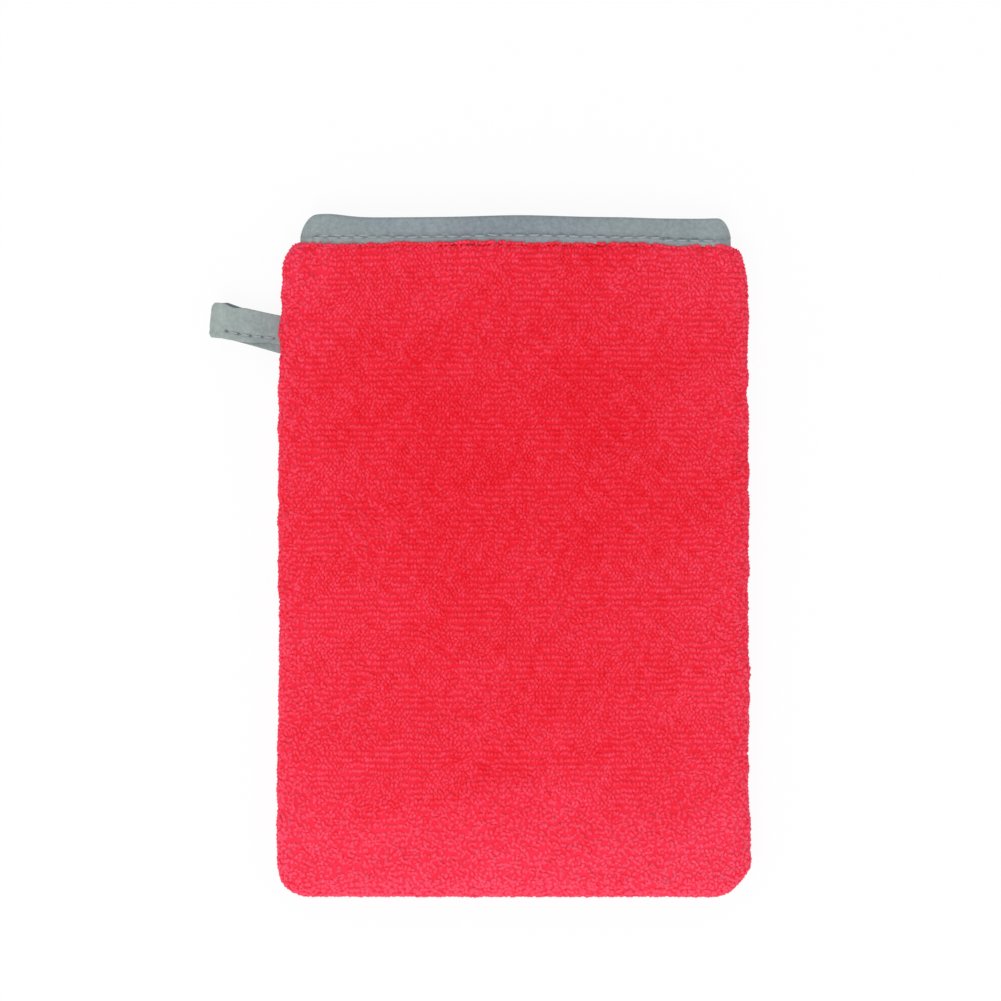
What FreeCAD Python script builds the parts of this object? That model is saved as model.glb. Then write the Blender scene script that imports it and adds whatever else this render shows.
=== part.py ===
"""Wash mitt: two terry panels sewn round three sides and turned, with a bound mouth and a hanging loop.

The mitt lies empty on its back, palm face up. X runs across it, +Y towards the mouth, +Z up from the
surface it rests on. The origin is the centre of the underside. All sizes are in millimetres.

Each panel is one piece of microfibre terry: a knitted base cloth with loop pile knitted into it. The mouth
edge of each panel is bound with a folded tape, held by one row of lockstitch. The panels were then laid pile
to pile, sewn and overlocked round the two long sides and the finger end, and turned, so the pile is outside
and the seam allowances point into the pocket. The hanging loop is a strip of the same tape; its two tails
are caught between the seam allowances of the left side seam.
"""

import math
import os

import FreeCAD
import Part

# --- driving dimensions ------------------------------------------------------------------------------------

# The terry pouch, measured over the pile.
body_width = 148.0
body_length = 205.5  # finger end to the start of the binding
neck_draw = 3.5  # how far each side seam is drawn in beside the binding
shoulder_length = 22.0  # along Y, where the body narrows to the neck
neck_length = 6.0  # straight stretch between the shoulders and the binding
finger_corner_radius = 9.5  # the two rounded corners in plan
palm_crown = 4.5  # how much higher the palm's middle is than its long sides
seam_roll = 1.1  # how far each panel's pile falls away into the seam
seam_band = 0.25  # upright pile between that and the larger roll round each panel's edge

# Cloth.
pile_height = 3.3
cloth_thickness = 0.9
allowance_width = 5.0  # seam allowance that points into the pocket
allowance_thickness = 1.6  # of one panel's allowance, its pile crushed flat
pocket_slack = 0.35  # free height over the threads, and under them, along the pocket's sides

# Binding of the mouth.
binding_height = 8.5  # how far it stands past the terry
tape_thickness = 0.6
binding_corner_radius = 6.5  # where each side seam draws the fold down

# Stitching.
thread_diameter = 0.5
binding_stitch_pitch = 4.2
binding_stitch_length = 3.1
binding_stitch_margin = 1.2  # from the binding's lower edge
binding_row_margin = 7.0  # from each side of the neck
backtack_count = 4  # stitches sewn twice at the row's start
loop_stitch_pitch = 3.6
loop_stitch_length = 2.6
loop_stitch_margin = 2.2  # from the loop's lower edge
closing_seam_margin = 1.3  # from the pocket's wall
overlock_width = 2.0  # how far the overlock reaches over the allowances
overlock_thickness = 0.4

# Hanging loop, of tape folded lengthwise and sewn, so each ply of the loop is two layers.
loop_reach = 21.4  # past the body's side
loop_width = 10.4
loop_ply = 1.0
loop_end_height = 8.0  # at the folded end, where the plies stand apart
loop_slant_deg = 10.5  # towards the mouth
loop_from_mouth = 37.4  # the loop's middle at the side seam, from the mouth's edge
loop_bend_reach = 2.0  # from the body's side out to the bend
loop_tail_margin = 0.6  # the tails end this short of the allowances' raw edges

# Clearances.
sewn_gap = 0.1  # between pieces sewn together
bend_gap = 0.3  # between the loop and its tails

# --- derived sizes and places ------------------------------------------------------------------------------

wall = pile_height + cloth_thickness
tape_outer = pile_height - sewn_gap - tape_thickness
tape_inner = wall + sewn_gap + tape_thickness
fold_radius = 0.45 * (tape_inner - tape_outer)
thread_radius = thread_diameter / 2
stitch_lift = sewn_gap + thread_radius

mouth_y = (body_length + binding_height) / 2
finger_y = -mouth_y
terry_end_y = finger_y + body_length
neck_start_y = terry_end_y - neck_length
shoulder_start_y = neck_start_y - shoulder_length
tongue_end_y = mouth_y - fold_radius - 2 * sewn_gap  # the panels' cloth inside the binding's fold
seam_end_y = terry_end_y - 0.5
beyond_y = mouth_y + 20.0  # construction solids run on to here

half_width = body_width / 2
half_neck = half_width - neck_draw
allowance_edge = wall + allowance_width
seam_line = wall + closing_seam_margin

# The pocket's sides just clear the allowances and their threads; the middle of the palm stands higher.
thread_space = sewn_gap + max(thread_diameter, overlock_thickness) + pocket_slack
seam_z = wall + thread_space + allowance_thickness
side_height = 2 * seam_z
edge_radius = seam_z - seam_roll - seam_band
loft = side_height + palm_crown
crown_radius = (half_width**2 + palm_crown**2) / (2 * palm_crown)
crown_centre_z = loft - crown_radius

loop_root_y = mouth_y - loop_from_mouth
loop_bend_x = -half_width - loop_bend_reach
loop_bend_radius = loop_ply + sewn_gap
loop_end_radius = loop_end_height / 2
loop_end_x = -half_width - loop_reach + loop_end_radius
loop_slant = math.tan(math.radians(loop_slant_deg))

DOWN, UP, FAR = -loft, 3 * loft, body_width + body_length  # below, above and beside everything

X, Y, Z = FreeCAD.Vector(1, 0, 0), FreeCAD.Vector(0, 1, 0), FreeCAD.Vector(0, 0, 1)


def point(x, y, z=0.0):
    return FreeCAD.Vector(x, y, z)


def line(a, b):
    return Part.LineSegment(a, b).toShape()


def arc(at, start_deg, end_deg):
    """The arc edge through at(angle) for the two angles and their middle."""
    return Part.Arc(at(start_deg), at((start_deg + end_deg) / 2), at(end_deg)).toShape()


def face_of(edges):
    return Part.Face(Part.Wire(Part.__sortEdges__(edges)))


def slab(low, high):
    return Part.makeBox(*(high - low), low)


def between(low_y, high_y):
    return slab(point(-FAR, low_y, DOWN), point(FAR, high_y, UP))


# --- the pouch, which every piece of cloth follows ----------------------------------------------------------


def seam_path(inset, end_y, z):
    """The side seams and finger end in plan, this far in from the pile's outline, in order from the right
    of the mouth to its left. Each shoulder is two arcs that meet in tangent halfway along it."""
    half, neck = half_width - inset, half_neck - inset
    turn = 2 * math.atan(neck_draw / shoulder_length)
    shoulder_radius = shoulder_length / (2 * math.sin(turn))
    corner = max(finger_corner_radius - inset, 1.0)
    end = finger_y + inset

    def round_about(x, y, radius):
        return lambda deg: point(x + radius * math.cos(math.radians(deg)),
                                 y + radius * math.sin(math.radians(deg)), z)

    turn = math.degrees(turn)
    hollow = round_about(half_neck + shoulder_radius, neck_start_y, shoulder_radius + inset)
    swell = round_about(half_width - shoulder_radius, shoulder_start_y, shoulder_radius - inset)
    right = [
        line(point(neck, end_y, z), hollow(180)),
        arc(hollow, 180, 180 + turn),
        arc(swell, turn, 0),
        line(swell(0), point(half, end + corner, z)),
        arc(round_about(half - corner, end + corner, corner), 0, -90),
    ]
    left = [edge.mirror(point(0, 0), X) for edge in reversed(right)]
    return right + [line(point(half - corner, end, z), point(corner - half, end, z))] + left


def plan_prism(inset, end_y, low, high):
    """The pouch's plan, closed across at end_y, as an upright prism."""
    neck = half_neck - inset
    across = line(point(-neck, end_y, low), point(neck, end_y, low))
    return face_of(seam_path(inset, end_y, low) + [across]).extrude(Z * (high - low))


def under_crown(inset):
    """Everything under the palm's crowned surface, this far in from the pile."""
    radius, reach = crown_radius - inset, half_width + 10.0
    start_y = finger_y - 10.0
    rim_z = crown_centre_z + math.sqrt(radius**2 - reach**2)
    rims = [point(-reach, start_y, rim_z), point(reach, start_y, rim_z)]
    feet = [point(-reach, start_y, DOWN), point(reach, start_y, DOWN)]
    crown = Part.Arc(rims[0], point(0, start_y, crown_centre_z + radius), rims[1]).toShape()
    section = face_of([crown, line(rims[1], feet[1]), line(feet[1], feet[0]), line(feet[0], rims[0])])
    return section.extrude(Y * (beyond_y + 10.0 - start_y))


def rim_edges(block, low_z, high_z):
    """The edges of a pouch's rim whose middles lie between two heights, but not those across the mouth."""
    def middle_z(edge):
        return edge.valueAt((edge.FirstParameter + edge.LastParameter) / 2).z

    def runs_round(edge):
        box = edge.BoundBox
        return box.ZLength < max(box.XLength, box.YLength) and box.YMin < beyond_y - 0.5

    return [edge for edge in block.Edges if runs_round(edge) and low_z < middle_z(edge) < high_z]


def pouch(inset):
    """The mitt's outer form, this far in on every side, running on past the mouth."""
    block = plan_prism(inset, beyond_y, inset, UP).common(under_crown(inset)).Solids[0]
    radius = max(edge_radius - inset, 0.3)
    block = block.makeFillet(radius, rim_edges(block, seam_z, UP))
    return block.makeFillet(radius, rim_edges(block, inset - 0.01, inset + 0.01))


def mouth_plan(inset, end_y, corner_radius):
    """An upright prism over everything up to end_y, with the mouth's two corners rounded in plan."""
    neck = half_neck - inset
    box = slab(point(-neck, finger_y, DOWN), point(neck, end_y, UP))
    corners = [edge for edge in box.Edges
               if edge.BoundBox.ZLength > 1 and edge.BoundBox.YMin > end_y - 0.01]
    wide = slab(point(-FAR, finger_y - 5.0, DOWN), point(FAR, neck_start_y, UP))
    return box.makeFillet(corner_radius, corners).fuse(wide)


# --- palm and back panels -----------------------------------------------------------------------------------

pocket = pouch(wall)
tail_start_x = loop_bend_x + loop_bend_radius + bend_gap
tail_end_x = allowance_edge - loop_tail_margin - half_width


def end_loop(shape, y):
    """The edges of a shape that lie in the plane across the mitt at y."""
    return [edge for edge in shape.Edges
            if edge.BoundBox.YMin > y - 1e-4 and edge.BoundBox.YMax < y + 1e-4]


def halves(shape):
    """A shape's parts above and below the side seams."""
    return [shape.common(slab(point(-FAR, -FAR, low), point(FAR, FAR, high)))
            for low, high in ((seam_z, UP), (DOWN, seam_z))]


def tape_block(end_x, start_x, grow, half_height):
    """A block over the hanging loop's slanting tape in plan, between two places across the mitt."""
    def corner(x, side):
        y = loop_root_y + loop_slant * (loop_bend_x - x) + side * (loop_width / 2 + grow)
        return point(x, y, seam_z - half_height)

    corners = [corner(end_x, -1), corner(start_x, -1), corner(start_x, 1), corner(end_x, 1)]
    return Part.Face(Part.makePolygon(corners + corners[:1])).extrude(Z * (2 * half_height))


def on_pile_at_seam(edge):
    """True for an edge that lies in the seam's plane on the outline of the pile."""
    box = edge.BoundBox
    middle = edge.valueAt((edge.FirstParameter + edge.LastParameter) / 2)
    outline = Part.Wire(seam_path(0.0, terry_end_y, seam_z))
    level = abs(box.ZMin - seam_z) < 1e-4 and abs(box.ZMax - seam_z) < 1e-4
    return level and outline.distToShape(Part.Vertex(middle))[0] < 1e-3


def panels():
    """Palm and back panel. Each has pile outside, base cloth within, a bare tongue of cloth that its binding
    folds over, and a seam allowance. The loop's tails push a slot between the allowances."""
    terry = pouch(0.0).common(between(finger_y - 5.0, terry_end_y))
    terry = terry.makeFillet(0.85 * pile_height, end_loop(terry, terry_end_y))
    corner = binding_corner_radius - (pile_height - tape_outer)
    cloth = pouch(pile_height).common(mouth_plan(pile_height, tongue_end_y, corner))
    allowance = plan_prism(wall - 0.5, seam_end_y, seam_z - allowance_thickness, seam_z + allowance_thickness)
    allowance = allowance.cut(plan_prism(allowance_edge, beyond_y, DOWN, UP))
    both = terry.fuse(cloth).cut(pocket).fuse(allowance).removeSplitter()
    slot = tape_block(-FAR, tail_end_x + sewn_gap, sewn_gap, loop_ply + sewn_gap)
    return [half.makeChamfer(seam_roll, [edge for edge in half.Edges if on_pile_at_seam(edge)]).cut(slot)
            for half in halves(both)]


# --- bindings -----------------------------------------------------------------------------------------------


def bindings():
    """Palm and back binding, each a tape folded over its panel's tongue of cloth."""
    fold = pouch(tape_outer).common(between(terry_end_y + sewn_gap, mouth_y)).cut(pouch(tape_inner))
    fold = fold.makeFillet(fold_radius, end_loop(fold, mouth_y))
    inset = pile_height - sewn_gap
    corner = binding_corner_radius - (inset - tape_outer)
    room = pouch(inset).common(mouth_plan(inset, tongue_end_y + sewn_gap, corner)).cut(pouch(wall + sewn_gap))
    return halves(fold.common(mouth_plan(tape_outer, mouth_y, binding_corner_radius)).cut(room))


# --- stitching ----------------------------------------------------------------------------------------------


def thread_section(centre, along):
    """The outline of a thread's square section about a point, one corner up, for a thread that runs along
    a direction near level."""
    across = along.cross(Z).normalize()
    up = across.cross(along).normalize()
    corners = [centre + side * thread_radius for side in (across, up, -across, -up)]
    return Part.makePolygon(corners + corners[:1])


def stitch(start, end):
    return Part.Face(thread_section(start, end - start)).extrude(end - start)


def binding_row(surface, first_y):
    """A row of stitches along a binding, left to right. surface gives a place's height from its x. The row
    starts with a few stitches sewn twice, side by side."""
    count = int(2 * (half_neck - binding_row_margin) / binding_stitch_pitch)
    first_x = -(count - 1) * binding_stitch_pitch / 2
    places = [(first_x + number * binding_stitch_pitch, first_y) for number in range(count)]
    places += [(x + binding_stitch_pitch / 3, y + thread_diameter + sewn_gap)
               for x, y in places[:backtack_count]]
    ends = [(x - binding_stitch_length / 2, x + binding_stitch_length / 2, y) for x, y in places]
    return [stitch(point(x0, y, surface(x0)), point(x1, y, surface(x1))) for x0, x1, y in ends]


def crown_z(inset):
    """Height of the palm's crown across the mouth, this far in from the pile, as a function of x."""
    return lambda x: crown_centre_z + math.sqrt((crown_radius - inset)**2 - x**2)


def level(z):
    return lambda x: z


def binding_stitches():
    """The palm's and the back's rows. Each shows on the outside of its binding and, inside, on its other ply."""
    row_y = terry_end_y + sewn_gap + binding_stitch_margin
    palm = binding_row(crown_z(tape_outer - stitch_lift), row_y)
    palm += binding_row(crown_z(tape_inner + stitch_lift), row_y)
    back = binding_row(level(tape_outer - stitch_lift), row_y)
    back += binding_row(level(tape_inner + stitch_lift), row_y)
    return Part.Compound(palm), Part.Compound(back)


def closing_thread(side):
    """One thread of the closing seam, which runs over the allowances on one side of the seam's plane."""
    z = seam_z + side * (allowance_thickness + stitch_lift)
    path = Part.Wire(seam_path(seam_line, seam_end_y, z))
    section = thread_section(point(half_neck - seam_line, seam_end_y, z), -Y)
    return path.makePipeShell([section], True, False)


def overlock():
    """Thread wrapped over the allowances' raw edges, as one strip folded round them."""
    inner_height = allowance_thickness + sewn_gap
    height = inner_height + overlock_thickness
    edge = allowance_edge + sewn_gap
    strip = plan_prism(allowance_edge - overlock_width, seam_end_y, seam_z - height, seam_z + height)
    strip = strip.cut(plan_prism(edge + overlock_thickness, beyond_y, DOWN, UP))
    room = plan_prism(0.0, beyond_y, seam_z - inner_height, seam_z + inner_height)
    return strip.cut(room.cut(plan_prism(edge, beyond_y, DOWN, UP)))


# --- hanging loop -------------------------------------------------------------------------------------------


def teardrop(grow):
    """The loop's side view, this much outside its inner face: a small round at the bend, a large one at
    the folded end, and the two tangents that join them. It is as deep as the whole loop needs."""
    near = (loop_bend_x, loop_bend_radius - loop_ply + grow)
    far = (loop_end_x, loop_end_radius - loop_ply + grow)
    tangent = math.degrees(math.acos((far[1] - near[1]) / (near[0] - far[0])))
    depth = loop_width + 2 * loop_slant * loop_reach

    def round_about(centre_x, radius):
        return lambda deg: point(centre_x + radius * math.cos(math.radians(deg)), loop_root_y - depth,
                                 seam_z + radius * math.sin(math.radians(deg)))

    bend, end = round_about(*near), round_about(*far)
    edges = [arc(bend, -tangent, tangent), line(bend(tangent), end(tangent)),
             arc(end, tangent, 360 - tangent), line(end(-tangent), bend(-tangent))]
    return face_of(edges).extrude(Y * (3 * depth))


def hanging_loop():
    band = teardrop(loop_ply).cut(teardrop(0.0))
    return band.common(tape_block(-half_width - loop_reach - 1, -half_width, 0.0, loop_end_height))


def loop_tails():
    """The tape's two ends, laid together between the allowances of the left side seam."""
    return Part.Compound(halves(tape_block(tail_start_x, tail_end_x, 0.0, loop_ply)))


def loop_stitches():
    """The row that closes the folded tape, along the loop's lower edge on the outside of both plies."""
    span = loop_bend_x - loop_end_x
    cosine = (loop_end_radius - loop_bend_radius) / span
    sine = math.sqrt(1 - cosine**2)
    lift = loop_bend_radius + stitch_lift

    def place(along, side):
        x = loop_bend_x + lift * cosine - along * sine
        y = loop_root_y + loop_slant * (loop_bend_x - x) - loop_width / 2 + loop_stitch_margin
        return point(x, y, seam_z + side * (lift * sine + along * cosine))

    first = loop_ply + bend_gap  # clears the tails as the loop turns
    count = 1 + int((span * sine - first - loop_stitch_length) / loop_stitch_pitch)
    starts = [first + number * loop_stitch_pitch for number in range(count)]
    return Part.Compound([stitch(place(start, side), place(start + loop_stitch_length, side))
                          for side in (1, -1) for start in starts])


# --- one STEP for each node ---------------------------------------------------------------------------------

palm_panel, back_panel = panels()
palm_cuff_binding, back_cuff_binding = bindings()
palm_cuff_stitches, back_cuff_stitches = binding_stitches()

nodes = {
    "palm_panel": palm_panel,
    "back_panel": back_panel,
    "palm_cuff_binding": palm_cuff_binding,
    "back_cuff_binding": back_cuff_binding,
    "palm_cuff_stitches": palm_cuff_stitches,
    "back_cuff_stitches": back_cuff_stitches,
    "seam_needle_thread": closing_thread(1),
    "seam_bobbin_thread": closing_thread(-1),
    "overlock_edging": overlock(),
    "loop_tails": loop_tails(),
    "hanging_loop": hanging_loop(),
    "loop_edge_stitches": loop_stitches(),
}

os.makedirs("parts", exist_ok=True)
for name, shape in nodes.items():
    shape.exportStep(f"parts/{name}.step")
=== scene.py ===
"""The looks of a terry wash mitt: red looped pile, with grey tape round the mouth and in the hanging loop.

Lengths are in millimetres in the mitt's own frame until a mesh is made: X across, +Y towards the mouth and
+Z up from the table that the mitt lies on.
"""

import math

import bmesh
import bpy
import numpy as np
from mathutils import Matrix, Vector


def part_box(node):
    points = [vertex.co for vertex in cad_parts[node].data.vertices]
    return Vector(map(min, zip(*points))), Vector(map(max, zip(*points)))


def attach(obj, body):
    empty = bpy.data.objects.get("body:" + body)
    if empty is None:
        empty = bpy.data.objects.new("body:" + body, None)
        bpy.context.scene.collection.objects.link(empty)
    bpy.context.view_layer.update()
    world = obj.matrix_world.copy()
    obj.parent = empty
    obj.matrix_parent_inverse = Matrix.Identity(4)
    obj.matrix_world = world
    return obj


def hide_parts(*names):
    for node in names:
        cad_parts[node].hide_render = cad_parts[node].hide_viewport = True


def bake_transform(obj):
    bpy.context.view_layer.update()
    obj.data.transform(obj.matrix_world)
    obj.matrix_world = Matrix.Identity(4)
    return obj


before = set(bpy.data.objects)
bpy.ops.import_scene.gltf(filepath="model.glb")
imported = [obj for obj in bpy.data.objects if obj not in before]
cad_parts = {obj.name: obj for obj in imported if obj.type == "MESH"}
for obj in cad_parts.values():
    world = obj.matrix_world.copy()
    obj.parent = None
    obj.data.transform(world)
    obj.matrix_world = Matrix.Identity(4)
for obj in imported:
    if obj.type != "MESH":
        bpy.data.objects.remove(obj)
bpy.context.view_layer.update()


# --- Palm panel ---------------------------------------------------------------------------------------------
# Microfibre terry: a knitted base cloth with yarn loops knitted into it in rows across the mitt. The cloth
# goes over the edge into the closing seam at mid height, and its end is caught between the binding's leaves.
# The loops stand in clear rows over the middle, and are larger and more tangled at the edges and finger end.


def millimetres(node_name):
    """A CAD node's lowest and highest corner."""
    return [1000 * np.array(corner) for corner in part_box(node_name)]


palm_low, palm_high = millimetres("palm_panel")
binding_low, binding_high = millimetres("palm_cuff_binding")
HALF_WIDTH = palm_high[0]
FINGER_Y = palm_low[1]
SEAM_Z = palm_low[2]
CROWN = palm_high[2] - 2 * SEAM_Z  # how much higher the palm's middle is than its sides
TERRY_END_Y = binding_low[1] - 1.3  # where the pile ends at the binding
TONGUE_END_Y = binding_low[1] + 2.4  # where the cloth ends between the binding's leaves
CORNER_RADIUS = 9.5  # the finger end's two corners
EDGE_RADIUS = 5.4  # each panel's roll over the mitt's edge
UPRIGHT = 1.35  # the upright stretch between that roll and the closing seam
WRAP = UPRIGHT + EDGE_RADIUS * (math.pi / 2 - 1)  # cloth that goes over the edge, past the plan's outline
WALL = 4.2  # cloth and pile together
ALLOWANCE_REACH = 13.2  # from the closing seam over the edge and back to the allowance's raw edge
ALLOWANCE_PLY = 0.8
LEAST_PLY_GAP = 0.02  # between each panel's allowance and the seam's middle plane
CLOTH_STEP = 1.5  # between the rows of the cloth's grid
MOST_TRIANGLES = 190000  # in one piece of repeated shapes
LEAST_HEIGHT = 0.02  # nothing goes through the table

ROW_PITCH = 1.89  # between the rows of loops
LOOP_PITCH = 1.26  # between the loops along a row
PILE_DEPTH = 1.25  # how far the loops stand out of the cloth
YARN_RADIUS = 0.50
LOOP_SPAN = 0.92
USUAL_TURN = 1.45  # in radians, from a loop that stands along its row

# How far each side is drawn in, by the distance from the pile's end towards the fingers.
LEFT_DRAW = ((-1.5, 6.8), (0, 3.5), (1.8, 2.3), (5.5, 1.6), (10, 0.9), (21, 0.5), (28, 0.0))
RIGHT_DRAW = ((-1.5, 8.3), (0, 4.9), (1.8, 2.4), (5.5, 1.4), (9, 0.8), (13, 0.3), (17, 0.0))
RIGHT_CORNER_DRAW = 2.0  # and the right side once more at the finger end

# How much painted light and sheen lightens the pile, by the distance from the finger end.
PAINTED_LIGHT_BY_FINGERS = ((0, 0.85), (18, 0.72), (43, 0.32), (68, 0.28), (93, 0.2), (118, 0.05), (143, 0), (168, 0.06),
        (194, 0.3))


def drift(x, y, scale, seed, waves=14):
    """Smooth noise, mostly between -1 and 1, that varies over about this many millimetres.

    The seed picks its waves, so that each use has its own.
    """
    rng = np.random.default_rng(seed)
    total = np.zeros(np.broadcast(x, y).shape)
    for turn, phase, stretch in rng.random((waves, 3)):
        wave = 2 * math.pi / (scale * (0.7 + 1.1 * stretch))
        ahead = x * math.cos(6.283 * turn) + y * math.sin(6.283 * turn)
        total += np.sin(wave * ahead + 6.283 * phase)
    return total / math.sqrt(waves)


def smooth(x, low, high):
    """A smooth step from 0 below the one value to 1 above the other."""
    t = np.clip((x - low) / (high - low), 0.0, 1.0)
    return t * t * (3 - 2 * t)


def hump(x, middle, reach):
    """A soft bump, 1 at its middle and almost 0 at twice its reach."""
    return np.exp(-(((x - middle) / reach) ** 2))


def half_width(s, t):
    """Half the mitt's width: each side draws in towards the mouth and wavers in its own way."""
    from_end = TERRY_END_Y - t
    left = np.interp(from_end, *zip(*LEFT_DRAW))
    right = np.interp(from_end, *zip(*RIGHT_DRAW))
    right = right + RIGHT_CORNER_DRAW * (1 - smooth(t, FINGER_Y, FINGER_Y + 13))
    side = 40 * np.sign(s)
    uneven = 0.25 * drift(t, side, 45, 3) + 0.18 * drift(t, side, 8, 4)
    return HALF_WIDTH - np.where(s < 0, left, right) + uneven


def from_seam(s, t):
    """How far a place on the flat cloth is from the closing seam, and the direction out to the seam."""
    across = np.abs(s) - (half_width(s, t) - CORNER_RADIUS)
    along = (FINGER_Y + CORNER_RADIUS) - t
    across_out, along_out = np.maximum(across, 0), np.maximum(along, 0)
    reach = np.hypot(across_out, along_out)
    distance = CORNER_RADIUS + WRAP - (reach + np.minimum(np.maximum(across, along), 0))
    out_x = np.where(reach > 1e-9, across_out, across > along) * np.sign(s)
    out_y = -np.where(reach > 1e-9, along_out, across <= along)
    length = np.maximum(np.hypot(out_x, out_y), 1e-9)
    return distance, out_x / length, out_y / length


def puckered(x, y):
    """Short folds that the binding's stitches leave in the terry beside them."""
    return drift(x, 0 * y, 5, 12) * smooth(y, TERRY_END_Y - 16, TERRY_END_Y - 3)


def palm_face(x, y):
    """The height of the loops' tops over the palm: a low crown, a little uneven, puckered by the tape."""
    crown = CROWN * (1 - (x / HALF_WIDTH) ** 2) * (0.45 + 0.55 * smooth(y, FINGER_Y, FINGER_Y + 50))
    uneven = 0.30 * drift(x, y, 60, 5) + 0.16 * drift(x, y, 24, 6) + 0.20 * puckered(x, y)
    return 2 * SEAM_Z - 0.3 + crown + uneven


def back_face(x, y):
    """The back lies flat on the table."""
    return np.zeros(np.broadcast(x, y).shape)


def wrapped(s, t, face):
    """A place on the flat cloth, wrapped over the mitt's edge: on the outside, at the loops' tops."""
    distance, out_x, out_y = from_seam(s, t)
    turn = np.clip((distance - UPRIGHT) / EDGE_RADIUS, 0, math.pi / 2)
    inset = np.where(turn < math.pi / 2, EDGE_RADIUS * (1 - np.cos(turn)), distance - WRAP)
    rise = np.where(distance < UPRIGHT, distance, UPRIGHT + EDGE_RADIUS * np.sin(turn))
    shift = inset - distance + WRAP
    x, y = s - out_x * shift, t - out_y * shift
    z = SEAM_Z + rise * (face(x, y) - SEAM_Z) / (UPRIGHT + EDGE_RADIUS)
    return np.stack([x, y, z], -1)


def puffed(t, distance):
    """How far the looser pile at the finger end stands out past the rest."""
    return 0.8 * (1 - smooth(distance, 3, 8)) * smooth(-t, 60, 100)


def pulled_down(t):
    """How far the binding's stitches pull down the cloth beside them."""
    return 0.8 * smooth(t, TERRY_END_Y - 4, TERRY_END_Y)


def unit(vectors):
    return vectors / np.linalg.norm(vectors, axis=-1, keepdims=True)


def wrapped_axes(s, t, face):
    """The same place, with the directions there: across the cloth, along it and out of it."""
    step = 0.05
    across = unit(wrapped(s + step, t, face) - wrapped(s - step, t, face))
    along = wrapped(s, t + step, face) - wrapped(s, t - step, face)
    out = unit(np.cross(across, along)) * (-1 if face is back_face else 1)
    return wrapped(s, t, face), across, np.cross(out, across), out


def pile_tone(x, y, distance):
    """How light the pile looks, 0 to 1: painted light and sheen at the finger end and the edges, mottled."""
    # Painted light and sheen: lighter towards the finger end and along the edges.
    along = np.interp(y - FINGER_Y, *zip(*PAINTED_LIGHT_BY_FINGERS))
    edges = 0.18 * (1 - smooth(distance, 0, 10)) + 0.26 * (1 - smooth(distance, 0, 48))
    mottle = 0.045 * drift(x, y, 38, 8) + 0.055 * drift(x, y, 13, 9) + 0.035 * drift(x, y, 7, 17)
    # Besides more random mottling, the puckers' troughs by the tape are darker: painted shade.
    mottle = mottle + 0.12 * drift(x, y, 3.5, 10) + 0.065 * puckered(x, y)
    return np.clip(0.20 + 0.6 * along + edges + mottle, 0, 1)


def new_piece(name, mesh, material, body):
    """A finished mesh, as a piece of the mitt that rides on one of its bodies."""
    mesh.polygons.foreach_set("use_smooth", np.ones(len(mesh.polygons), bool))
    mesh.materials.append(material)
    piece = bpy.data.objects.new(name, mesh)
    bpy.context.scene.collection.objects.link(piece)
    if body:
        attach(piece, body)
    return piece


def cloth_shell(name, outer, inner, material, body="mitt", **values):
    """A closed shell of cloth between two grids of points, with named values on its outer and inner side."""
    rows, columns = outer.shape[:2]
    cloth = bmesh.new()
    bmesh.ops.create_grid(cloth, x_segments=columns - 1, y_segments=rows - 1, size=0.5)
    place = cloth.verts.layers.int.new("place")
    for vert in cloth.verts:
        column, row = (vert.co.x + 0.5) * (columns - 1), (vert.co.y + 0.5) * (rows - 1)
        vert[place] = round(row) * columns + round(column)
    made = bmesh.ops.extrude_face_region(cloth, geom=cloth.faces[:], use_keep_orig=True)
    for vert in made["geom"]:
        if isinstance(vert, bmesh.types.BMVert):
            vert[place] += rows * columns
    points = 0.001 * np.concatenate([inner.reshape(-1, 3), outer.reshape(-1, 3)])
    for vert in cloth.verts:
        vert.co = points[vert[place]]
    bmesh.ops.recalc_face_normals(cloth, faces=cloth.faces)
    if cloth.calc_volume(signed=True) < 0:  # a thin bent shell can come out inside out
        bmesh.ops.reverse_faces(cloth, faces=cloth.faces)
    mesh = bpy.data.meshes.new(name)
    cloth.to_mesh(mesh)
    cloth.free()
    order = np.zeros(len(mesh.vertices), np.int32)
    mesh.attributes["place"].data.foreach_get("value", order)
    mesh.attributes.remove(mesh.attributes["place"])
    for key, (on_outer, on_inner) in values.items():
        both = [np.broadcast_to(value, (rows, columns)).ravel() for value in (on_inner, on_outer)]
        mesh.attributes.new(key, "FLOAT", "POINT").data.foreach_set("value", np.concatenate(both)[order])
    return new_piece(name, mesh, material, body)


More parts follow.
